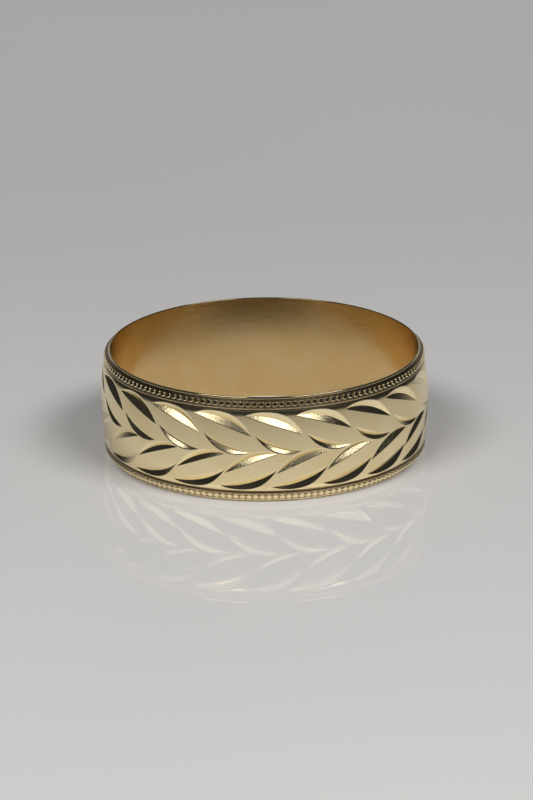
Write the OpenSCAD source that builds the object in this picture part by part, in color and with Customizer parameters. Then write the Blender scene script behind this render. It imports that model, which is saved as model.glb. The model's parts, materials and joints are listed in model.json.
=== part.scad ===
// Domed wedding band with a laurel of engraved leaves between two beaded edges.
// The origin is the centre of the ring and +Z runs along the finger.
// Angles are measured about Z from the -Y side, growing towards +X, the way the leaves point.

/* [Band] */
// Inside diameter, which sets the finger size
inner_diameter = 18.6; // [17:0.1:20]
// Width along the finger
band_width = 6.5; // [6.2:0.1:7.2]
// Thickness at the crest of the dome
crest_thickness = 0.58; // [0.56:0.01:0.8]
// Radius of the dome across the width
dome_radius = 22; // [18:1:40]
// Radius at which the dome rolls over beside the beaded edges
shoulder_radius = 1; // [0.8:0.05:1.4]
// Width of each rolled shoulder
shoulder_width = 0.35; // [0.2:0.01:0.4]
// Rounding where the bore meets each rim
bore_edge_radius = 0.05; // [0.02:0.01:0.08]

/* [Beaded edges] */
// Width of the seat that each beaded wire takes up
seat_width = 0.75; // [0.7:0.01:0.8]
// Wall left between the seat and the bore
rim_wall = 0.12; // [0.1:0.01:0.16]
// Height of the wire above the floor of its seat
wire_height = 0.63; // [0.58:0.01:0.66]
// Depth of the wire outwards from the rim wall
wire_depth = 0.28; // [0.26:0.01:0.3]
// Diameter of one bead
bead_diameter = 0.37; // [0.32:0.01:0.38]
// Distance from bead to bead
bead_pitch = 0.39; // [0.39:0.01:0.5]
// How far the bead centres lie below the sloping face of the wire
bead_sink = 0.045; // [0.02:0.005:0.08]
// Height above that face at which the beads are worn flat
bead_height = 0.085; // [0.07:0.005:0.1]

/* [Leaves] */
// Leaves in each of the two rows
leaf_count = 20; // [18:1:24]
// Turn of the whole pattern, in degrees
pattern_turn = 11; // [0:0.5:18]
// How far the second row lags the first, in leaf steps
row_lag = 0.5; // [0.4:0.05:0.6]
// Swing radius of the graver's point
graver_swing = 4.6; // [4.2:0.1:5.4]
// Swing radius of its point in the upper inner cuts, which curve more
tight_swing = 3.5; // [3.2:0.1:4.2]
// Lean of the graver's spindle away from the leaf
graver_lean = 10; // [8:1:12]
// Flank of the graver on the leaf side, in the outer cuts
outer_leaf_flank = 21.8; // [20:0.2:26]
// The same flank in the upper inner cuts
upper_leaf_flank = 30; // [26:1:34]
// The same flank in the lower inner cuts
lower_leaf_flank = 25; // [21:1:30]
// Flank of the graver on the side away from the leaf, in the outer cuts
outer_far_flank = 38; // [36:1:44]
// The same flank in the inner cuts
inner_far_flank = 43; // [40:1:48]

/* [Hidden] */
$fn = 240;

inner_r = inner_diameter / 2;
crest_r = inner_r + crest_thickness;
half_width = band_width / 2;
seat_r = inner_r + rim_wall;
seat_z = half_width - seat_width;
leaf_step = 360 / leaf_count;

// The ends of each cut beside a leaf: [leaf steps round the band, share of the field's half width].
UPPER_OUTER = [[0, 0.88], [1.13, 0.395]];
UPPER_INNER = [[0.2, 0.4], [1.095, -0.015]];
LOWER_OUTER = [[0, -0.895], [1.105, -0.48]];
LOWER_INNER = [[0.1, -0.555], [1.135, -0.05]];

// Radius of the dome at a height above the middle of the band.
function dome_r(z) = crest_r - dome_radius + sqrt(dome_radius^2 - z^2);

// ---- Beaded wire ----
// Section of the wire as [outwards from the seat wall, above the seat floor].
face_top = [0.25 * wire_depth, wire_height - 0.02];
face_foot = [wire_depth, 0.22 * wire_height];
WIRE_SECTION = [
    [0, 0], [0, wire_height], face_top, face_foot,
    [wire_depth - 0.02, 0.1 * wire_height], [0.7 * wire_depth, 0]
];
face_run = face_foot - face_top;
face_normal = [-face_run.y, face_run.x] / norm(face_run);
bead_centre = (face_top + face_foot) / 2 - bead_sink * face_normal;
bead_r = bead_diameter / 2;
bead_ring_r = seat_r + bead_centre.x;
bead_count = round(2 * PI * bead_ring_r / bead_pitch);

module bead_row() {
    for (i = [0:bead_count - 1])
        rotate([0, 0, 360 * i / bead_count])
            translate([bead_ring_r, 0, seat_z + bead_centre.y])
                sphere(r = bead_r, $fn = 24);
}

// Section of everything below the height that the beads are worn down to.
module worn_section() {
    worn = bead_height * face_normal;
    past = face_run / norm(face_run);
    polygon([
        face_top - bead_r * past + worn, face_foot + bead_r * past + worn,
        face_foot + bead_r * past - bead_diameter * face_normal,
        face_top - bead_r * past - bead_diameter * face_normal
    ]);
}

// The wire runs a little into the wall and is trimmed back with its beads, so both seat alike.
module bead_wire() {
    difference() {
        union() {
            rotate_extrude() translate([seat_r, seat_z]) union() {
                polygon(WIRE_SECTION);
                translate([-bead_r, 0]) square([bead_r, wire_height]);
            }
            intersection() {
                bead_row();
                rotate_extrude() translate([seat_r, seat_z]) worn_section();
            }
        }
        cylinder(r = seat_r, h = band_width, center = true);
    }
}

module upper_bead_wire() {
    color("#c9ad72") bead_wire();
}

module lower_bead_wire() {
    color("#d8bf86") rotate([180, 0, 0]) bead_wire();
}

// ---- Band ----
// Seat for a beaded wire. The foot of the wire leaves a groove beside the dome.
module seat_section() {
    clear = 1;
    translate([seat_r, seat_z]) square([clear, seat_width + clear]);
}

// Sliver outside the rounding between the bore and the rim.
module bore_corner_section() {
    translate([inner_r, half_width - bore_edge_radius]) difference() {
        translate([-1, 0]) square([1 + bore_edge_radius, 1]);
        translate([bore_edge_radius, 0]) circle(r = bore_edge_radius);
    }
}

// Outline of the dome, with its two rolled shoulders tangent to it.
module dome_section() {
    edge_z = seat_z - shoulder_width;
    roll = asin(edge_z / dome_radius);
    translate([crest_r - dome_radius, 0]) {
        intersection() {
            circle(r = dome_radius, $fn = 720);
            translate([dome_radius - 2 * crest_thickness, -edge_z])
                square([2 * crest_thickness, 2 * edge_z]);
        }
        for (side = [-1, 1])
            translate((dome_radius - shoulder_radius) * [cos(roll), side * sin(roll)])
                circle(r = shoulder_radius);
    }
}

module band_section() {
    difference() {
        union() {
            intersection() {
                dome_section();
                translate([inner_r, -half_width]) square([2 * crest_thickness, band_width]);
            }
            translate([inner_r, -half_width]) square([rim_wall, band_width]);
        }
        for (side = [0, 1]) mirror([0, side]) {
            seat_section();
            bore_corner_section();
        }
    }
}

// Swept V of the graver along a chord of the given length, laid on local XY with Z outwards.
// Its leaf side lies along the chord, and its far side bows towards +Y.
module graver_sweep(length, curvature, swing, leaf_flank, far_flank) {
    clear = 0.15;
    bow = (length / 2)^2 * cos(graver_lean) / (2 * swing);
    depth = bow * tan(graver_lean) + curvature * (length / 2)^2 / 2;
    tall = depth + clear;
    half_sweep = asin((length / 2 + clear) / swing);
    translate([0, bow - swing * cos(graver_lean), swing * sin(graver_lean) - depth])
        rotate([-graver_lean, 0, 0])
            rotate_extrude(angle = 2 * half_sweep, start = 90 - half_sweep)
                polygon([
                    [swing - tall / tan(leaf_flank), tall],
                    [swing, 0],
                    [swing + tall / tan(far_flank), tall]
                ]);
}

// One cut between two ends. side is 1 where it bows up the band and -1 where it bows down.
module leaf_cut(ends, side, swing, leaf_flank, far_flank) {
    angles = [for (e = ends) e.x * leaf_step];
    heights = [for (e = ends) e.y * seat_z];
    height = (heights[0] + heights[1]) / 2;
    radius = dome_r(height);
    run = radius * (angles[1] - angles[0]) * PI / 180;
    rise = heights[1] - heights[0];
    slant = atan2(rise, run);
    curvature = cos(slant)^2 / radius + sin(slant)^2 / dome_radius;
    rotate([0, 0, (angles[0] + angles[1]) / 2])
        translate([0, -radius, height])
            rotate([90 - asin(height / dome_radius), 0, 0])
                rotate([0, 0, side > 0 ? slant : slant + 180])
                    graver_sweep(norm([run, rise]), curvature, swing, leaf_flank, far_flank);
}

module leaf_cuts() {
    for (i = [0:leaf_count - 1]) rotate([0, 0, pattern_turn + i * leaf_step]) {
        leaf_cut(UPPER_OUTER, 1, graver_swing, outer_leaf_flank, outer_far_flank);
        leaf_cut(UPPER_INNER, -1, tight_swing, upper_leaf_flank, inner_far_flank);
        rotate([0, 0, row_lag * leaf_step]) {
            leaf_cut(LOWER_OUTER, -1, graver_swing, outer_leaf_flank, outer_far_flank);
            leaf_cut(LOWER_INNER, 1, graver_swing, lower_leaf_flank, inner_far_flank);
        }
    }
}

module band() {
    color("#cdb57c") difference() {
        rotate_extrude() band_section();
        leaf_cuts();
    }
}

band();
upper_bead_wire();
lower_bead_wire();
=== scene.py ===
import json
import math

import bpy
import numpy as np
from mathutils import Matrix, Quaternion, Vector, geometry


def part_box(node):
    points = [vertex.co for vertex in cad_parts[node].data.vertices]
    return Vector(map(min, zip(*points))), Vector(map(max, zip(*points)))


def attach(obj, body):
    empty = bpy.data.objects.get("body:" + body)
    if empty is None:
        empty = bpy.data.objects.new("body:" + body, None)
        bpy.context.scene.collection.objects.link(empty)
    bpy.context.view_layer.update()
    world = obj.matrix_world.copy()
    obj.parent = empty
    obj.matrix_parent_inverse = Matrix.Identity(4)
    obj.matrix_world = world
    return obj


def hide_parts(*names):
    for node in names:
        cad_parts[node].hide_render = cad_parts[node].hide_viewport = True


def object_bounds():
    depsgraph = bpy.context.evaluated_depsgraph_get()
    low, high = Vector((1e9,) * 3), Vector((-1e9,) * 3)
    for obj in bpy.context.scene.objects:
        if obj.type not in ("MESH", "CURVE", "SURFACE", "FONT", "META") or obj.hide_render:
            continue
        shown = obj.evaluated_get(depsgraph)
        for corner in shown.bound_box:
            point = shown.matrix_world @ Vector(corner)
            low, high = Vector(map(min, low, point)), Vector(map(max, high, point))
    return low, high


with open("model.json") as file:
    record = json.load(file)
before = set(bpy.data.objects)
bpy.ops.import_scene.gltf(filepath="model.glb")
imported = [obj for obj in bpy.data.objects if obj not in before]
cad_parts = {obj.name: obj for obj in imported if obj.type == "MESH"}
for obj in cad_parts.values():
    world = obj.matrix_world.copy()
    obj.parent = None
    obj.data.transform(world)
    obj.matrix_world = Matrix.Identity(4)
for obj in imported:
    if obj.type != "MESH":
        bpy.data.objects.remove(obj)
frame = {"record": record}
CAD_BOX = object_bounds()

# A domed gold wedding band with bright-cut leaves between two beaded wires, on a pale studio floor.
# Shapes are worked out in millimetres and become metres when a mesh is made.
# Angles about the ring's axis start from the -Y side and grow towards +X.
MM = 0.001

# ---- Sizes of the band, as the CAD model has them ----
BORE = next(m for m in frame["record"]["mounts"] if m["name"] == "finger_bore")
INNER_R = BORE["dims"]["r_mm"]
HALF_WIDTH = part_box("band")[1].z / MM
CREST_R = INNER_R + 0.58
DOME_R = 22.0
SHOULDER_R = 1.0
SHOULDER_WIDTH = 0.35
SEAT_R = INNER_R + 0.12
SEAT_Z = HALF_WIDTH - 0.75
SHOULDER_Z = SEAT_Z - SHOULDER_WIDTH
SHOULDER_ROLL = math.asin(SHOULDER_Z / DOME_R)
BORE_EDGE_R = 0.05
BORE_ROWS = 9
# The rim's outer edge rolls over above the top of the wire, and RIM_ROLL is how far in the roll goes.
WIRE_TOP_Z = SEAT_Z + 0.63
RIM_ROLL = 0.065
RIM_ROLL_STEPS = 8

# ---- Leaves ----
LEAVES = 20
LEAF_STEP = 2 * math.pi / LEAVES
PATTERN_TURN = math.radians(11)
ROW_LAG = 0.5
GRAVER_LEAN = math.radians(10)
# Ends of each cut as (leaf steps round the band, share of the seats' height), the side it bows to, the
# graver's swing radius, its flanks in degrees on the leaf side and the far side, the rounding of the edge
# on the far side, and the lag of the row in leaf steps.
CUTS = (
    (((0.0, 0.88), (1.13, 0.395)), 1, 4.6, (21.8, 38), 0.09, 0.0),
    (((0.2, 0.4), (1.095, -0.015)), -1, 3.5, (30, 43), 0.04, 0.0),
    (((0.0, -0.895), (1.105, -0.48)), -1, 4.6, (21.8, 38), 0.03, ROW_LAG),
    (((0.1, -0.555), (1.135, -0.05)), 1, 4.6, (25, 43), 0.04, ROW_LAG),
)
CUT_STATIONS = 56
LEAF_EDGE = 0.03
FIELD_MARGIN = 0.02
ROW_SPACING = 0.19
SHOULDER_ROWS = 7
CLEAR_OF_EDGE = 0.07

# ---- Beaded wires, as (outwards from the seat wall, above the seat floor) ----
# BEAD_HEIGHT is how far above the face the beads are worn, and FACE_NORMAL_OUT is the outward part of
# the face's normal.
WIRE_TOP = ((0.0, 0.63), (0.07, 0.61))
BEAD_FACE = ((0.07, 0.61), (0.28, 0.1386))
WIRE_FOOT = ((0.28, 0.1386), (0.26, 0.063), (0.196, 0.0))
SEAT_CORNER = (0.0, 0.0)
BEAD_R = 0.185
BEAD_SINK = 0.045
BEAD_PITCH = 0.39
BEAD_RAYS = 24
BEAD_HEIGHT = 0.07
BEAD_ROUNDING = 0.03
BEAD_CROWN = 1.4
LATHE_STEPS = 720

FACE_NORMAL_OUT = 0.9134
BEAD_RING_R = float(SEAT_R + np.mean(np.array(BEAD_FACE)[:, 0]) - BEAD_SINK * FACE_NORMAL_OUT)
BEADS = round(2 * math.pi * BEAD_RING_R / BEAD_PITCH)
BEAD_STEP = 2 * math.pi * BEAD_RING_R / BEADS

# ---- Meshes: the slots of the band, the name of the UV layer, and the distance that joins points ----
# The third slot's gold has painted shade and painted reflection in its colour, on the bore and the seat
# floors.
SATIN, BRIGHT, POLISHED_PAINTED_SHADE, RIM = 0, 1, 2, 3
TOOL_PATH = "tool_path"
WELD = 1e-4


# ---- Points on the ring ----
def on_ring(r, z, angle):
    """Points at a radius, a height and an angle."""
    r, z, angle = np.broadcast_arrays(r, z, angle)
    return np.stack([r * np.sin(angle), -r * np.cos(angle), z], axis=-1).astype(float)


def turned(points, angle):
    """Points or directions turned about the ring's axis."""
    c, s = math.cos(angle), math.sin(angle)
    x, y, z = points[..., 0], points[..., 1], points[..., 2]
    return np.stack([c * x - s * y, s * x + c * y, z], axis=-1)


def unit(vectors):
    return vectors / np.linalg.norm(vectors, axis=-1, keepdims=True)


def arc_of(z):
    """The arc of the dome's section at each height: its radius, and the radius and height of its centre."""
    rolled = np.abs(z) > SHOULDER_Z
    to_centre = DOME_R - SHOULDER_R
    centre_r = CREST_R - DOME_R + np.where(rolled, to_centre * math.cos(SHOULDER_ROLL), 0)
    centre_z = np.where(rolled, np.sign(z) * to_centre * math.sin(SHOULDER_ROLL), 0)
    return np.where(rolled, SHOULDER_R, DOME_R), centre_r, centre_z


def dome_r(z):
    radius, centre_r, centre_z = arc_of(z)
    return centre_r + np.sqrt(radius**2 - (z - centre_z) ** 2)


def dome_normal(z, angle):
    radius, _, centre_z = arc_of(z)
    tilt = np.arcsin((z - centre_z) / radius)
    return on_ring(np.cos(tilt), np.sin(tilt), angle)


def above_dome(points):
    """How far outside the dome points are."""
    return np.hypot(points[..., 0], points[..., 1]) - dome_r(points[..., 2])


def angle_of(points):
    return np.arctan2(points[..., 0], -points[..., 1])


# ---- Meshes ----
class Shell:
    """Patches of points with the normals they are shaded with, joined into one mesh."""

    def __init__(self):
        self.points, self.normals, self.marks = [], [], []
        self.faces, self.slots = [], []
        self.count = 0

    def add(self, points, normals, faces, slot, marks=None):
        points = np.asarray(points, float).reshape(-1, 3)
        if marks is None:
            marks = np.zeros((len(points), 2))
        self.points.append(points)
        self.normals.append(np.asarray(normals, float).reshape(-1, 3))
        self.marks.append(np.asarray(marks, float).reshape(-1, 2))
        self.faces += [[i + self.count for i in face] for face in faces]
        self.slots += [slot] * len(faces)
        self.count += len(points)

    def add_grid(self, points, normals, slot, closed=False, marks=None):
        """A grid of rows of points. closed joins the last column to the first."""
        rows, columns = points.shape[:2]
        index = np.arange(rows * columns).reshape(rows, columns)
        if closed:
            index = np.concatenate([index, index[:, :1]], axis=1)
        quads = np.stack([index[:-1, :-1], index[:-1, 1:], index[1:, 1:], index[1:, :-1]], axis=-1)
        self.add(points, normals, quads.reshape(-1, 4).tolist(), slot, marks)

    def build(self, name, materials):
        points, normals = np.concatenate(self.points), np.concatenate(self.normals)
        marks = np.concatenate(self.marks)
        keys = np.round(points / WELD).astype(np.int64)
        _, first, joined = np.unique(keys, axis=0, return_index=True, return_inverse=True)
        joined = joined.ravel()
        faces, slots, corners = [], [], []
        for face, slot in zip(self.faces, self.slots, strict=True):
            kept = [i for k, i in enumerate(face) if joined[i] != joined[face[k - 1]]]
            if len(kept) < 3:
                continue
            a, b, c = points[kept[0]], points[kept[1]], points[kept[-1]]
            if np.dot(np.cross(b - a, c - a), normals[kept].sum(axis=0)) < 0:
                kept.reverse()
            faces.append([int(joined[i]) for i in kept])
            slots.append(slot)
            corners += kept
        mesh = bpy.data.meshes.new(name)
        mesh.from_pydata((points[first] * MM).tolist(), [], faces)
        for material in materials:
            mesh.materials.append(material)
        mesh.polygons.foreach_set("material_index", slots)
        mesh.polygons.foreach_set("use_smooth", [True] * len(faces))
        mesh.uv_layers.new(name=TOOL_PATH).data.foreach_set("uv", marks[corners].ravel())
        mesh.update()
        mesh.normals_split_custom_set(unit(normals[corners]).tolist())
        piece = bpy.data.objects.new(name, mesh)
        bpy.context.scene.collection.objects.link(piece)
        return piece


def lathe(shell, profile, normals, slot, angles):
    """Turns a profile of (radius, height) points with (radial, axial) normals about the axis."""
    profile, normals = np.asarray(profile, float), np.asarray(normals, float)
    angles = np.asarray(angles)[None, :]
    points = on_ring(profile[:, :1], profile[:, 1:], angles)
    shell.add_grid(points, on_ring(normals[:, :1], normals[:, 1:], angles), slot, closed=True)


def lathe_flat(shell, start, end, slot, angles, rows=1):
    """One straight stretch of a profile, whose outside is on its right."""
    start, end = np.asarray(start, float), np.asarray(end, float)
    run = end - start
    normal = np.array([run[1], -run[0]]) / np.linalg.norm(run)
    steps = np.linspace(0, 1, rows + 1)[:, None]
    lathe(shell, start + run * steps, np.repeat(normal[None], rows + 1, axis=0), slot, angles)


def lathe_arc(shell, centre, radius, from_deg, to_deg, slot, angles, steps=6):
    """A rounded corner of a profile. Degrees are measured from the radial direction."""
    turn = np.radians(np.linspace(from_deg, to_deg, steps + 1))
    normals = np.stack([np.cos(turn), np.sin(turn)], axis=-1)
    lathe(shell, np.asarray(centre) + radius * normals, normals, slot, angles)


# ---- The leaf cuts ----
def bisect(below, low, high, rounds=46):
    """Where each element of a function that is negative at low and positive at high passes zero."""
    for _ in range(rounds):
        middle = (low + high) / 2
        is_low = below(middle) < 0
        low, high = np.where(is_low, middle, low), np.where(is_low, high, middle)
    return (low + high) / 2


def cut_axes(ends, side):
    """Place, length and axes of a cut laid on the dome between its two ends."""
    angles = np.array([e[0] for e in ends]) * LEAF_STEP
    heights = np.array([e[1] for e in ends]) * SEAT_Z
    angle, height = angles.mean(), heights.mean()
    radius = float(dome_r(height))
    run, rise = radius * np.diff(angles)[0], np.diff(heights)[0]
    slant = math.atan2(rise, run)
    curvature = math.cos(slant) ** 2 / radius + math.sin(slant) ** 2 / DOME_R
    along = on_ring(1.0, 0.0, angle + math.pi / 2)
    out = dome_normal(height, angle)
    up = np.cross(out, along)
    turn = slant if side > 0 else slant + math.pi
    axis_x = math.cos(turn) * along + math.sin(turn) * up
    axis_y = math.cos(turn) * up - math.sin(turn) * along
    return on_ring(radius, height, angle), axis_x, axis_y, out, math.hypot(run, rise), curvature


def leaf_cut(ends, side, swing, flanks, far_edge):
    """Rows of points across one cut, from the dome on its far side to the leaf, and their normals."""
    origin, axis_x, axis_y, out, length, curvature = cut_axes(ends, side)
    lean = GRAVER_LEAN
    bow = (length / 2) ** 2 * math.cos(lean) / (2 * swing)
    depth = bow * math.tan(lean) + curvature * (length / 2) ** 2 / 2
    swing_y = math.cos(lean) * axis_y - math.sin(lean) * out
    swing_z = math.sin(lean) * axis_y + math.cos(lean) * out
    centre = origin + axis_y * (bow - swing * math.cos(lean)) + out * (swing * math.sin(lean) - depth)

    def arm(turn):
        return np.sin(turn)[:, None] * axis_x + np.cos(turn)[:, None] * swing_y

    reach = 0.7 * length / swing
    tips = np.array([bisect(lambda t: above_dome(centre + swing * arm(t)), np.zeros(1), np.array([s * reach]))
                     for s in (-1, 1)]).ravel()
    spread = np.linspace(-1, 1, CUT_STATIONS + 1)
    spread = 0.5 * spread + 0.5 * np.sin(math.pi / 2 * spread)
    turns = tips.mean() + np.diff(tips)[0] / 2 * spread
    arms = arm(turns)

    def wall_point(across, towards, flank):
        rise = across * math.tan(flank)
        return centre + (swing + towards * across)[:, None] * arms + rise[:, None] * swing_z

    def wall(towards, flank, rounding):
        """Points and normals of one wall, from the rounded edge of the dome beside it to the valley."""
        zero = np.zeros(len(turns))
        width = bisect(lambda u: above_dome(wall_point(u, towards, flank)), zero, zero + 0.7)
        width[[0, -1]] = 0
        crest = wall_point(width, towards, flank)
        room = np.maximum(SEAT_Z - FIELD_MARGIN - abs(crest[:, 2]), 0.2 * FIELD_MARGIN)
        edge = np.minimum(np.minimum(rounding, 0.3 * width), room)
        inner = wall_point(width - edge, towards, flank)
        beside = crest + towards * edge[:, None] * arms
        beside = on_ring(dome_r(beside[:, 2]), beside[:, 2], angle_of(beside))
        middle = 0.25 * beside + 0.5 * crest + 0.25 * inner
        dome = dome_normal(beside[:, 2], angle_of(beside))
        face = math.cos(flank) * swing_z - towards * math.sin(flank) * arms
        points = np.stack([beside, middle, inner, wall_point(zero, towards, flank)])
        normals = np.stack([dome, unit(dome + face), face, face])
        across = np.stack([width + edge, width, width - edge, zero])
        along = np.broadcast_to(turns * swing, across.shape)
        return points, normals, np.stack([along, towards * across], axis=-1)

    leaf_flank, far_flank = np.radians(flanks)
    return wall(1, far_flank, far_edge), wall(-1, leaf_flank, LEAF_EDGE)


def all_cuts():
    """Every cut's two walls, turned into place."""
    for *cut, lag in CUTS:
        walls = leaf_cut(*cut)
        for leaf in range(LEAVES):
            turn = PATTERN_TURN + (leaf + lag) * LEAF_STEP
            yield [(turned(p, turn), turned(n, turn), marks + 10.0 * leaf) for p, n, marks in walls]


def outline_of(walls):
    """The closed line on the dome round a cut."""
    far, leaf = walls[0][0][0], walls[1][0][0]
    return np.concatenate([far, leaf[-2:0:-1]])


# ---- The dome round the cuts ----
def to_map(points):
    """Flat map of the dome, a ring round the origin."""
    angle, height = angle_of(points), points[..., 2]
    return np.stack([(CREST_R + height) * np.sin(angle), (CREST_R + height) * np.cos(angle)], axis=-1)


def inside(points, outline):
    """Which points of the map are inside an outline."""
    crossings = np.zeros(len(points), bool)
    for (x0, y0), (x1, y1) in zip(outline, np.roll(outline, -1, axis=0), strict=True):
        if y0 == y1:
            continue
        spans = (points[:, 1] < y0) != (points[:, 1] < y1)
        crossings ^= spans & (points[:, 0] < x0 + (points[:, 1] - y0) * (x1 - x0) / (y1 - y0))
    return crossings


def near_box(points, outline, margin):
    low, high = outline.min(axis=0) - margin, outline.max(axis=0) + margin
    return np.nonzero(((points > low) & (points < high)).all(axis=1))[0]


def field_points(outlines):
    """Points spread over the dome between the cuts, in closer rows on the shoulders."""
    rows = int(2 * SHOULDER_Z / ROW_SPACING)
    shoulder = np.linspace(SHOULDER_Z, SEAT_Z, SHOULDER_ROWS + 1)[1:-1]
    heights = np.concatenate([-shoulder, np.linspace(-SHOULDER_Z, SHOULDER_Z, rows + 1), shoulder])
    columns = int(2 * math.pi * CREST_R / ROW_SPACING)
    steps = np.arange(columns) / columns * 2 * math.pi
    shifts = np.where(np.arange(len(heights)) % 2, 0.5, 0.0) * 2 * math.pi / columns
    points = np.concatenate([on_ring(dome_r(z), z, steps + s) for z, s in zip(heights, shifts, strict=True)])
    flat, keep = to_map(points), np.ones(len(points), bool)
    for outline in outlines:
        near = near_box(flat, outline, CLEAR_OF_EDGE)
        gaps = np.linalg.norm(flat[near][:, None] - outline[None], axis=-1).min(axis=1, initial=1.0)
        keep[near[(gaps < CLEAR_OF_EDGE) | inside(flat[near], outline)]] = False
    return points[keep]


def add_dome(shell, cuts, angles):
    """The satin face of the dome, with the cuts left open."""
    rims = [on_ring(dome_r(z), z, angles) for z in (SEAT_Z, -SEAT_Z)]
    loops = rims + [outline_of(walls) for walls in cuts]
    outlines = [to_map(loop) for loop in loops[2:]]
    points = np.concatenate(loops + [field_points(outlines)])
    edges, start = [], 0
    for loop in loops:
        count = len(loop)
        edges += [(start + i, start + (i + 1) % count) for i in range(count)]
        start += count
    flat = to_map(points)
    result = geometry.delaunay_2d_cdt([Vector(p) for p in flat], edges, [], 0, 1e-7)
    origin = [source[0] for source in result[3]]
    faces = np.array([[origin[i] for i in face] for face in result[2]])
    centres = flat[faces].mean(axis=1)
    keep = np.linalg.norm(centres, axis=1) > CREST_R - SEAT_Z
    for outline in outlines:
        near = near_box(centres, outline, 0)
        keep[near[inside(centres[near], outline)]] = False
    shell.add(points, dome_normal(points[:, 2], angle_of(points)), faces[keep].tolist(), SATIN)


# ---- The band ----
def add_rims_and_bore(shell, angles):
    """Everything but the dome: the seats of the wires, the rims and the bore."""
    corner = HALF_WIDTH - BORE_EDGE_R
    for side in (1, -1):
        def place(*points):
            ordered = [(r, side * z) for r, z in points]
            return ordered if side > 0 else ordered[::-1]

        outer = SEAT_R - RIM_ROLL
        # The seat floor takes the bore's gold, whose darker, more orange colour is painted shade and painted
        # reflection.
        lathe_flat(shell, *place((float(dome_r(SEAT_Z)), SEAT_Z), (SEAT_R, SEAT_Z)), POLISHED_PAINTED_SHADE, angles)
        lathe_flat(shell, *place((SEAT_R, SEAT_Z), (SEAT_R, WIRE_TOP_Z)), RIM, angles)
        turn = np.radians(np.linspace(0, 90, RIM_ROLL_STEPS + 1))
        roll = np.stack([np.cos(turn), np.sin(turn)], axis=-1)
        spans = np.array([RIM_ROLL, HALF_WIDTH - WIRE_TOP_Z])
        sides = np.array([1, side])
        lathe(shell, ((outer, WIRE_TOP_Z) + roll * spans) * sides, unit(roll / spans) * sides, RIM, angles)
        lathe_flat(shell, *place((outer, HALF_WIDTH), (INNER_R + BORE_EDGE_R, HALF_WIDTH)), RIM, angles)
        edge = (INNER_R + BORE_EDGE_R, side * corner)
        lathe_arc(shell, edge, BORE_EDGE_R, side * 90, side * 180, RIM, angles)
    # The bore takes the darker, more orange gold whose colour is painted shade and painted reflection.
    bore = [(INNER_R, z) for z in np.linspace(corner, -corner, BORE_ROWS)]
    lathe(shell, bore, [(-1, 0)] * BORE_ROWS, POLISHED_PAINTED_SHADE, angles)


def make_band(materials):
    shell = Shell()
    angles = np.arange(LATHE_STEPS) * 2 * math.pi / LATHE_STEPS
    cuts = list(all_cuts())
    add_dome(shell, cuts, angles)
    for walls in cuts:
        for points, normals, marks in walls:
            shell.add_grid(points, normals, BRIGHT, marks=marks)
    add_rims_and_bore(shell, angles)
    return shell.build("engraved_band", materials)


# ---- The beaded wires ----
def bead_rays(width, height):
    """Directions from a bead's centre, and how far each goes to the edge of its cell."""
    turns = np.arange(BEAD_RAYS) * 2 * math.pi / BEAD_RAYS
    across, along = np.cos(turns), np.sin(turns)
    reach = np.minimum(width / 2 / np.maximum(abs(across), 1e-9), height / 2 / np.maximum(abs(along), 1e-9))
    edge = np.stack([across * reach, along * reach], axis=-1)
    corner = math.atan2(height, width)
    for sign_x, sign_y in ((1, 1), (-1, 1), (-1, -1), (1, -1)):
        wanted = math.atan2(sign_y * math.sin(corner), sign_x * math.cos(corner)) % (2 * math.pi)
        edge[np.argmin(abs(turns - wanted))] = (sign_x * width / 2, sign_y * height / 2)
    return turns, edge


def bead_outline():
    """A bead's outline from foot to middle, as (distance from the middle, height, lean of the normal)."""
    foot = math.acos(BEAD_SINK / BEAD_R)
    shoulder = math.acos((BEAD_SINK + BEAD_HEIGHT - BEAD_ROUNDING / 2) / BEAD_R)
    side = [
        (BEAD_R * math.sin(a), BEAD_R * math.cos(a) - BEAD_SINK, a)
        for a in np.linspace(foot, shoulder, 4)
    ]
    radius, height, _ = side[-1]
    edge = radius - BEAD_ROUNDING
    crown = math.asin(edge / BEAD_CROWN)
    leans = np.linspace(shoulder, crown, 5)
    rounded = []
    for before, after in zip(leans, leans[1:], strict=False):
        step = BEAD_ROUNDING / 4
        radius, height = radius - step, height + step * math.tan((before + after) / 2)
        rounded.append((radius, height, after))
    top = height - BEAD_CROWN * math.cos(crown)
    middle = [
        (BEAD_CROWN * math.sin(a), top + BEAD_CROWN * math.cos(a), a)
        for a in (0.6 * crown, 0.3 * crown, 0)
    ]
    return side + rounded + middle


def bead_cell():
    """One bead and the face round it, as (along the ring, down the face, above the face) and normals."""
    start, end = np.array(BEAD_FACE)
    height = float(np.linalg.norm(end - start))
    turns, edge = bead_rays(BEAD_STEP, height)
    base = math.sqrt(BEAD_R**2 - BEAD_SINK**2)
    circle = np.stack([np.cos(turns), np.sin(turns)], axis=-1)
    flat = np.zeros((2, BEAD_RAYS, 3))
    flat[0, :, :2], flat[1, :, :2] = edge, base * circle
    outline = bead_outline()
    ones = np.ones((BEAD_RAYS, 1))

    def rings(across, up):
        """One ring of points, or of normals, for each pair of an outwards and an upwards part."""
        pairs = zip(across, up, strict=True)
        return np.stack([np.concatenate([a * circle, u * ones], axis=1) for a, u in pairs])

    radii, heights, leans = zip(*outline, strict=True)
    return flat, rings(radii, heights), rings([math.sin(a) for a in leans], [math.cos(a) for a in leans])


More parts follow.
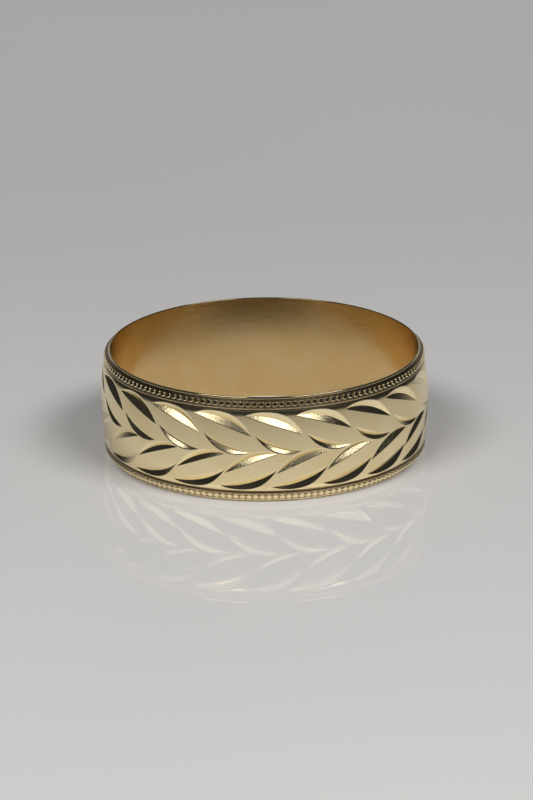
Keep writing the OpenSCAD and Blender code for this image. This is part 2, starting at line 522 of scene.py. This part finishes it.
def make_bead_wire(name, side, material):
    """A wire in its seat. side is 1 for the upper wire and -1 for the lower."""
    start, end = np.array(BEAD_FACE)
    down = unit(end - start)
    out = np.array([-down[1], down[0]])
    middle = (start + end) / 2 + np.array([SEAT_R, SEAT_Z])
    flat, cap, cap_normals = bead_cell()

    def to_ring(cell, angle):
        profile = middle + cell[..., 1:2] * down + cell[..., 2:3] * out
        return on_ring(profile[..., 0], side * profile[..., 1], side * (angle + cell[..., 0] / BEAD_RING_R))

    def to_ring_normal(cell_normals, cell, angle):
        slope = cell_normals[..., 1:2] * down + cell_normals[..., 2:3] * out
        turn = side * (angle + cell[..., 0] / BEAD_RING_R)
        along = on_ring(1.0, 0.0, turn + math.pi / 2) * cell_normals[..., :1] * side
        return on_ring(slope[..., 0], side * slope[..., 1], turn) + along

    shell = Shell()
    face_up = np.zeros_like(flat)
    face_up[..., 2] = 1
    edge_turns = []
    for bead in range(BEADS):
        angle = math.pi / 2 + 2 * math.pi * bead / BEADS
        for cell, cell_normals in ((flat, face_up), (cap, cap_normals)):
            normals = to_ring_normal(cell_normals, cell * [0, 1, 1], angle)
            marks = np.stack([cell[..., 2] / BEAD_HEIGHT, cell[..., 0]], axis=-1)
            shell.add_grid(to_ring(cell, angle), normals, 0, closed=True, marks=marks)
        on_top = flat[0][abs(flat[0, :, 1] - flat[0, :, 1].min()) < 1e-9]
        edge_turns += list(angle + on_top[:, 0] / BEAD_RING_R)
    angles = side * np.unique(np.round(np.array(edge_turns) % (2 * math.pi), 9))

    def profile(points):
        placed = [(SEAT_R + p[0], side * (SEAT_Z + p[1])) for p in points]
        return placed if side < 0 else placed[::-1]

    seat = ((WIRE_FOOT[-1], SEAT_CORNER), (SEAT_CORNER, WIRE_TOP[0]))
    for points in (WIRE_TOP, WIRE_FOOT[:2], WIRE_FOOT[1:], *seat):
        lathe_flat(shell, *profile(points), 0, angles)
    return shell.build(name, [material])


# ---- Materials ----
class Look:
    """A node material with one Principled shader."""

    def __init__(self, name, metal=True):
        self.material = bpy.data.materials.new(name)
        self.material.use_nodes = True
        self.nodes = self.material.node_tree.nodes
        self.links = self.material.node_tree.links
        self.shader = self.nodes["Principled BSDF"]
        self.shader.inputs["Metallic"].default_value = 1.0 if metal else 0.0

    def node(self, kind, **settings):
        made = self.nodes.new(kind)
        for key, value in settings.items():
            setattr(made, key, value)
        return made

    def link(self, output, target):
        self.links.new(output, target)
        return target

    def coordinates(self, scale=(1, 1, 1)):
        """Object coordinates in millimetres, stretched by scale."""
        source = self.node("ShaderNodeTexCoord")
        mapping = self.node("ShaderNodeMapping")
        mapping.inputs["Scale"].default_value = [s / MM for s in scale]
        self.link(source.outputs["Object"], mapping.inputs["Vector"])
        return mapping.outputs["Vector"]

    def round_the_ring(self, along, across):
        """Coordinates stretched along the ring, for marks that a wheel leaves."""
        place = self.coordinates()
        split = self.node("ShaderNodeSeparateXYZ")
        self.link(place, split.inputs["Vector"])
        angle = self.math("ARCTAN2", split.outputs["X"], split.outputs["Y"])
        squares = [self.math("MULTIPLY", split.outputs[axis], split.outputs[axis]) for axis in "XY"]
        radius = self.math("POWER", self.math("ADD", *squares), 0.5)
        joined = self.node("ShaderNodeCombineXYZ")
        self.link(self.math("MULTIPLY", angle, CREST_R * along), joined.inputs["X"])
        self.link(self.math("MULTIPLY", split.outputs["Z"], across), joined.inputs["Y"])
        self.link(self.math("MULTIPLY", radius, across), joined.inputs["Z"])
        return joined.outputs["Vector"]

    def math(self, operation, a, b):
        made = self.node("ShaderNodeMath", operation=operation)
        for value, target in zip((a, b), made.inputs, strict=False):
            if isinstance(value, (int, float)):
                target.default_value = value
            else:
                self.link(value, target)
        return made.outputs["Value"]

    def noise(self, vector, scale, detail=2.0, roughness=0.5):
        made = self.node("ShaderNodeTexNoise")
        made.inputs["Scale"].default_value = scale
        made.inputs["Detail"].default_value = detail
        made.inputs["Roughness"].default_value = roughness
        self.link(vector, made.inputs["Vector"])
        return made.outputs["Fac"]

    def between(self, factor, low, high):
        """A number that runs between two values as factor goes from 0.3 to 0.7."""
        made = self.node("ShaderNodeMapRange")
        made.inputs["From Min"].default_value = 0.3
        made.inputs["From Max"].default_value = 0.7
        made.inputs["To Min"].default_value = low
        made.inputs["To Max"].default_value = high
        self.link(factor, made.inputs["Value"])
        return made.outputs["Result"]

    def colours(self, factor, stops):
        """Colour by factor, from a list of (place, colour)."""
        ramp = self.node("ShaderNodeValToRGB")
        elements = ramp.color_ramp.elements
        while len(elements) < len(stops):
            elements.new(0.5)
        for element, (place, colour) in zip(elements, stops, strict=True):
            element.position = place
            element.color = (*colour, 1)
        self.link(factor, ramp.inputs["Fac"])
        self.link(ramp.outputs["Color"], self.shader.inputs["Base Color"])

    def bump(self, height, depth_mm, below=None):
        """A bump whose height runs over depth_mm, on top of another."""
        made = self.node("ShaderNodeBump")
        made.inputs["Strength"].default_value = 1.0
        made.inputs["Distance"].default_value = depth_mm * MM
        self.link(height, made.inputs["Height"])
        if below:
            self.link(below, made.inputs["Normal"])
        self.link(made.outputs["Normal"], self.shader.inputs["Normal"])
        return made.outputs["Normal"]


GOLD = (0.93, 0.78, 0.47)
GOLD_PALE = (0.95, 0.82, 0.52)
GOLD_DEEP = (0.90, 0.74, 0.42)
# Painted shade and painted reflection: the bore and the seat floors get a darker, more orange gold than the
# outside, standing in for the shade and the gold-on-gold reflection inside the band.
SHADED_BORE_GOLD = (0.79, 0.57, 0.275)
SHADED_BORE_GOLD_DEEP = (0.76, 0.53, 0.23)
PATINA = (0.38, 0.29, 0.17)


def satin_gold():
    look = Look("satin_gold")
    cloudy = look.noise(look.coordinates(), 0.5, 3)
    look.colours(cloudy, [(0.3, GOLD_DEEP), (0.5, GOLD), (0.7, GOLD_PALE)])
    strokes = look.noise(look.round_the_ring(1.2, 22.0), 1.0, 3, 0.6)
    look.link(look.between(strokes, 0.16, 0.23), look.shader.inputs["Roughness"])
    grain = look.noise(look.coordinates(), 26.0, 2)
    below = look.bump(strokes, 0.0012)
    look.bump(grain, 0.0010, below)
    return look.material


def bright_cut_gold():
    look = Look("bright_cut_gold")
    look.colours(look.noise(look.coordinates(), 2.0), [(0.3, GOLD), (0.7, GOLD_PALE)])
    path = look.node("ShaderNodeUVMap", uv_map=TOOL_PATH)
    stretch = look.node("ShaderNodeMapping")
    stretch.inputs["Scale"].default_value = (3.0, 30.0, 1.0)
    look.link(path.outputs["UV"], stretch.inputs["Vector"])
    drag = look.noise(stretch.outputs["Vector"], 1.0, 2)
    speckle = look.noise(look.coordinates(), 11.0, 4, 0.65)
    look.link(look.between(speckle, 0.08, 0.18), look.shader.inputs["Roughness"])
    below = look.bump(drag, 0.0010)
    look.bump(speckle, 0.009, below)
    return look.material


def polished_gold():
    look = Look("polished_gold")
    # Painted shade and painted reflection: a darker, more orange gold than the outside's, for the shade and
    # the gold-on-gold reflection inside the band and in the seats.
    look.colours(look.noise(look.coordinates(), 0.7, 3), [(0.3, SHADED_BORE_GOLD_DEEP), (0.7, SHADED_BORE_GOLD)])
    lines = look.noise(look.round_the_ring(0.6, 16.0), 1.0, 3, 0.6)
    look.link(look.between(lines, 0.14, 0.24), look.shader.inputs["Roughness"])
    below = look.bump(lines, 0.0008)
    look.bump(look.noise(look.coordinates(), 3.0, 2), 0.004, below)
    return look.material


def rim_gold():
    look = Look("rim_gold")
    worn = look.noise(look.coordinates(), 1.4, 4)
    look.colours(worn, [(0.35, GOLD_DEEP), (0.65, GOLD)])
    lines = look.noise(look.round_the_ring(0.6, 20.0), 1.0, 3, 0.6)
    look.link(look.between(lines, 0.07, 0.13), look.shader.inputs["Roughness"])
    look.bump(worn, 0.003, look.bump(lines, 0.0006))
    return look.material


def bead_gold():
    look = Look("bead_gold")
    height = look.node("ShaderNodeSeparateXYZ")
    look.link(look.node("ShaderNodeUVMap", uv_map=TOOL_PATH).outputs["UV"], height.inputs["Vector"])
    wear = look.noise(look.coordinates(), 9.0, 3)
    worn = look.math("ADD", height.outputs["X"], look.math("MULTIPLY", wear, 0.3))
    look.colours(worn, [(0.14, PATINA), (0.34, GOLD_DEEP), (1.0, GOLD)])
    look.link(look.between(worn, 0.30, 0.09), look.shader.inputs["Roughness"])
    look.bump(wear, 0.0025)
    return look.material


# ---- Studio ----
FLOOR_R = 0.5
FLOOR_RINGS = (0.03, 0.1, 0.25, FLOOR_R)


def floor_material():
    look = Look("pale_floor", metal=False)
    haze = look.noise(look.coordinates(), 0.02, 2)
    look.colours(haze, [(0.3, (0.71, 0.695, 0.68)), (0.7, (0.73, 0.715, 0.70))])
    look.shader.inputs["Roughness"].default_value = 0.5
    look.shader.inputs["Coat Weight"].default_value = 1.0
    look.shader.inputs["Coat IOR"].default_value = 1.65
    look.shader.inputs["Coat Roughness"].default_value = 0.03
    return look.material


def make_floor(height):
    """A round floor just below the ring."""
    steps = 96
    angles = np.arange(steps) * 2 * math.pi / steps
    points = [(0, 0, height)]
    for radius in FLOOR_RINGS:
        points += [(radius * math.sin(a), -radius * math.cos(a), height) for a in angles]
    faces = [(0, 1 + i, 1 + (i + 1) % steps) for i in range(steps)]
    for ring in range(len(FLOOR_RINGS) - 1):
        near, far = 1 + ring * steps, 1 + (ring + 1) * steps
        faces += [(near + i, far + i, far + (i + 1) % steps, near + (i + 1) % steps) for i in range(steps)]
    mesh = bpy.data.meshes.new("floor")
    mesh.from_pydata(points, [], faces)
    mesh.materials.append(floor_material())
    floor = bpy.data.objects.new("floor", mesh)
    bpy.context.scene.collection.objects.link(floor)


def direction(azimuth, elevation):
    """A direction from the ring. Azimuth 0 is towards -Y and grows towards +X."""
    a, e = math.radians(azimuth), math.radians(elevation)
    return Vector((math.sin(a) * math.cos(e), -math.cos(a) * math.cos(e), math.sin(e)))


def softbox(name, azimuth, elevation, distance, width, height, radiance, edge=0.12, mirrored=True):
    """A soft panel of light that faces the ring and fades over edge, a share of its size, at its borders."""
    data = bpy.data.lights.new(name, "AREA")
    data.shape = "RECTANGLE"
    data.size, data.size_y = width, height
    data.energy = radiance * math.pi * width * height
    data.use_nodes = True
    nodes, links = data.node_tree.nodes, data.node_tree.links
    split = nodes.new("ShaderNodeSeparateXYZ")
    links.new(nodes.new("ShaderNodeNewGeometry").outputs["Parametric"], split.inputs["Vector"])
    strength = None
    for axis in ("X", "Y"):
        for low, high in ((0, edge), (1, 1 - edge)):
            fade = nodes.new("ShaderNodeMapRange")
            fade.interpolation_type = "SMOOTHSTEP"
            fade.inputs["From Min"].default_value = low
            fade.inputs["From Max"].default_value = high
            links.new(split.outputs[axis], fade.inputs["Value"])
            if strength is None:
                strength = fade.outputs["Result"]
                continue
            both = nodes.new("ShaderNodeMath")
            both.operation = "MULTIPLY"
            links.new(strength, both.inputs[0])
            links.new(fade.outputs["Result"], both.inputs[1])
            strength = both.outputs["Value"]
    links.new(strength, nodes["Emission"].inputs["Strength"])
    light = bpy.data.objects.new(name, data)
    light.visible_glossy = mirrored
    towards = direction(azimuth, elevation)
    light.location = towards * distance
    light.rotation_mode = "QUATERNION"
    light.rotation_quaternion = towards.to_track_quat("Z", "Y")
    bpy.context.scene.collection.objects.link(light)


ROOM_LOW = (0.30, 0.30, 0.31)
ROOM_DARK = (0.016, 0.018, 0.022)
ROOM_HIGH = (0.030, 0.030, 0.032)
ROOM_TOP = (0.02, 0.02, 0.02)
BACK_LOW = (0.40, 0.39, 0.385)
BACK_PALE = (0.42, 0.414, 0.408)
BACK_DIM = (0.022, 0.022, 0.024)
BACKDROP_SEEN = (0.36, 0.35, 0.345)
ROOM_BY_HEIGHT = ((0.0, ROOM_LOW), (0.5, ROOM_DARK), (0.8, ROOM_HIGH), (1.0, ROOM_TOP))
BACK_BY_HEIGHT = ((0.0, BACK_LOW), (0.62, BACK_PALE), (0.65, BACK_DIM), (1.0, ROOM_TOP))
BACK_BY_DEPTH = ((0.84, (0, 0, 0)), (0.94, (1, 1, 1)))


def make_world():
    """A dim room in front of the ring, a pale backdrop behind it, and a plain grey for the camera."""
    world = bpy.data.worlds.new("studio")
    bpy.context.scene.world = world
    world.use_nodes = True
    nodes, links = world.node_tree.nodes, world.node_tree.links
    background = nodes["Background"]

    def node(kind, **settings):
        made = nodes.new(kind)
        for key, value in settings.items():
            setattr(made, key, value)
        return made

    place = node("ShaderNodeTexCoord")
    split = node("ShaderNodeSeparateXYZ")
    links.new(place.outputs["Generated"], split.inputs["Vector"])

    def ramp(source, stops):
        """Colours over a coordinate that runs from -1 to 1, placed as shares of that run."""
        scaled = node("ShaderNodeMapRange")
        scaled.inputs["From Min"].default_value = -1
        scaled.inputs["From Max"].default_value = 1
        links.new(source, scaled.inputs["Value"])
        made = node("ShaderNodeValToRGB")
        elements = made.color_ramp.elements
        while len(elements) < len(stops):
            elements.new(0.5)
        for element, (where, colour) in zip(elements, stops, strict=True):
            element.position = where
            element.color = (*colour, 1)
        links.new(scaled.outputs["Result"], made.inputs["Fac"])
        return made.outputs["Color"]

    room = ramp(split.outputs["Z"], ROOM_BY_HEIGHT)
    behind = ramp(split.outputs["Z"], BACK_BY_HEIGHT)
    side = ramp(split.outputs["Y"], BACK_BY_DEPTH)
    mixed = node("ShaderNodeMix", data_type="RGBA")
    links.new(side, mixed.inputs["Factor"])
    links.new(room, mixed.inputs["A"])
    links.new(behind, mixed.inputs["B"])
    seen = node("ShaderNodeMix", data_type="RGBA")
    seen.inputs["B"].default_value = (*BACKDROP_SEEN, 1)
    ray = node("ShaderNodeLightPath")
    links.new(ray.outputs["Is Camera Ray"], seen.inputs["Factor"])
    links.new(mixed.outputs["Result"], seen.inputs["A"])
    links.new(seen.outputs["Result"], background.inputs["Color"])


# Side, azimuth in degrees and width in metres of the two lights.
LIGHTS = (("left", -36, 0.25), ("right", 46, 0.28))
LIGHT_DISTANCE = 0.42


def make_lights():
    """Two softboxes that the metal mirrors, a brighter fill with each that it doesn't, and a dim wall."""
    for side, azimuth, width in LIGHTS:
        softbox("softbox_" + side, azimuth, 45.5, LIGHT_DISTANCE, 0.92 * width, 0.105, 2.9, edge=0.07)
        softbox("fill_" + side, azimuth, 49, LIGHT_DISTANCE, width, 0.16, 9.1, mirrored=False)
    softbox("wall_between", 5, 42, LIGHT_DISTANCE, 0.18, 0.09, 0.2)


# ---- Camera ----
CAMERA_ELEVATION = math.radians(19.33)
CAMERA_DISTANCE = 296.4 * MM
CAMERA_LENS = 220.3
SENSOR_WIDTH = 36
CAMERA_ROLL = math.radians(-0.59)
AIM_RIGHT, AIM_DOWN = 0.109 * MM, 0.212 * MM


def make_camera():
    """A long lens a little above the ring, aimed just below its centre and to the right."""
    data = bpy.data.cameras.new("camera")
    data.lens, data.sensor_width = CAMERA_LENS, SENSOR_WIDTH
    data.clip_start, data.clip_end = 0.01, 3.0
    camera = bpy.data.objects.new("camera", data)
    lo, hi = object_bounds()
    centre = (lo + hi) / 2
    back = Vector((0, -math.cos(CAMERA_ELEVATION), math.sin(CAMERA_ELEVATION)))
    up = Vector((0, math.sin(CAMERA_ELEVATION), math.cos(CAMERA_ELEVATION)))
    aim = centre + Vector((AIM_RIGHT, 0, 0)) - up * AIM_DOWN
    camera.location = centre + back * CAMERA_DISTANCE
    camera.rotation_mode = "QUATERNION"
    facing = (camera.location - aim).to_track_quat("Z", "Y")
    camera.rotation_quaternion = facing @ Quaternion((0, 0, 1), CAMERA_ROLL)
    bpy.context.scene.collection.objects.link(camera)
    bpy.context.scene.camera = camera


# ---- The scene ----
def make_ring():
    beads = bead_gold()
    band = make_band([satin_gold(), bright_cut_gold(), polished_gold(), rim_gold()])
    upper = make_bead_wire("upper_milgrain_wire", 1, beads)
    lower = make_bead_wire("lower_milgrain_wire", -1, beads)
    for piece, node, slot in (
        (band, "band", "band_gold"),
        (upper, "upper_bead_wire", "bead_gold"),
        (lower, "lower_bead_wire", "bead_gold"),
    ):
        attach(piece, "root")
        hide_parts(node)


make_camera()
make_ring()
make_floor(CAD_BOX[0].z)
make_world()
make_lights()
bpy.context.scene.view_settings.view_transform = "Standard"
